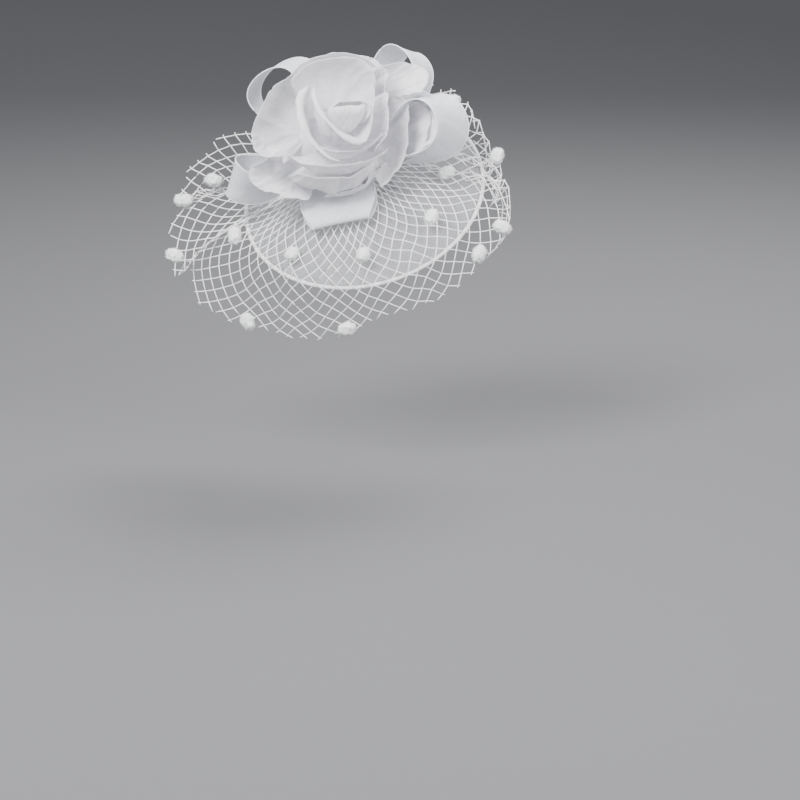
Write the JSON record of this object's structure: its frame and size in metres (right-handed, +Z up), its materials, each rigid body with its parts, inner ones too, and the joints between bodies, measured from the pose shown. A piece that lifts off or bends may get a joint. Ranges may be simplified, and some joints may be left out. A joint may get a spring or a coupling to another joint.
{
  "type": "gauze hair clip",
  "caption": "Round sheer gauze fascinator with a bound rim, a large organza rose, ribbon loops and a dotted net veil, on a flat hair clip.",
  "frame": {"origin": "middle of the clip's jaws under the base, where it grips the hair", "axes": "+Z up as worn, -Y towards the viewer of the picture, +X to the viewer's right along the longest side"},
  "size_m": [0.226, 0.1329, 0.1818],
  "materials": {
    "gauze": "sheer stiff gauze in two fine layers",
    "satin_edge": "narrow satin binding with a soft sheen",
    "organza": "soft translucent organza",
    "ribbon": "stiff sheer mesh ribbon with bright edges",
    "net_thread": "fine white net thread",
    "chenille": "fuzzy matt chenille",
    "clip_metal": "bent steel strip"
  },
  "bodies": {
    "root": {"base_disc": "gauze", "bud_petal_back": "organza", "bud_petal_front": "organza", "bud_petal_left": "organza", "bud_petal_right": "organza", "bud_roll": "organza", "hair_clip": "clip_metal", "middle_petal_back_left": "organza", "middle_petal_back_right": "organza", "middle_petal_front_left": "organza", "middle_petal_front_right": "organza", "middle_petal_left": "organza", "middle_petal_right": "organza", "net_veil": "net_thread", "outer_petal_back": "organza", "outer_petal_back_left": "organza", "outer_petal_back_right": "organza", "outer_petal_front": "organza", "outer_petal_front_right": "organza", "outer_petal_left": "organza", "outer_petal_right": "organza", "ribbon_loop_front": "ribbon", "ribbon_loop_left": "ribbon", "ribbon_loop_right": "ribbon", "ribbon_loop_upper_left": "ribbon", "ribbon_loop_upper_right": "ribbon", "rim_binding": "satin_edge", "rose_core": "organza", "side_petal_back": "organza", "side_petal_right": "organza", "veil_dot_01": "chenille", "veil_dot_02": "chenille", "veil_dot_03": "chenille", "veil_dot_04": "chenille", "veil_dot_05": "chenille", "veil_dot_06": "chenille", "veil_dot_07": "chenille", "veil_dot_08": "chenille", "veil_dot_09": "chenille", "veil_dot_10": "chenille", "veil_dot_11": "chenille", "veil_dot_12": "chenille", "veil_dot_13": "chenille", "veil_dot_14": "chenille"}
  },
  "joints": []
}
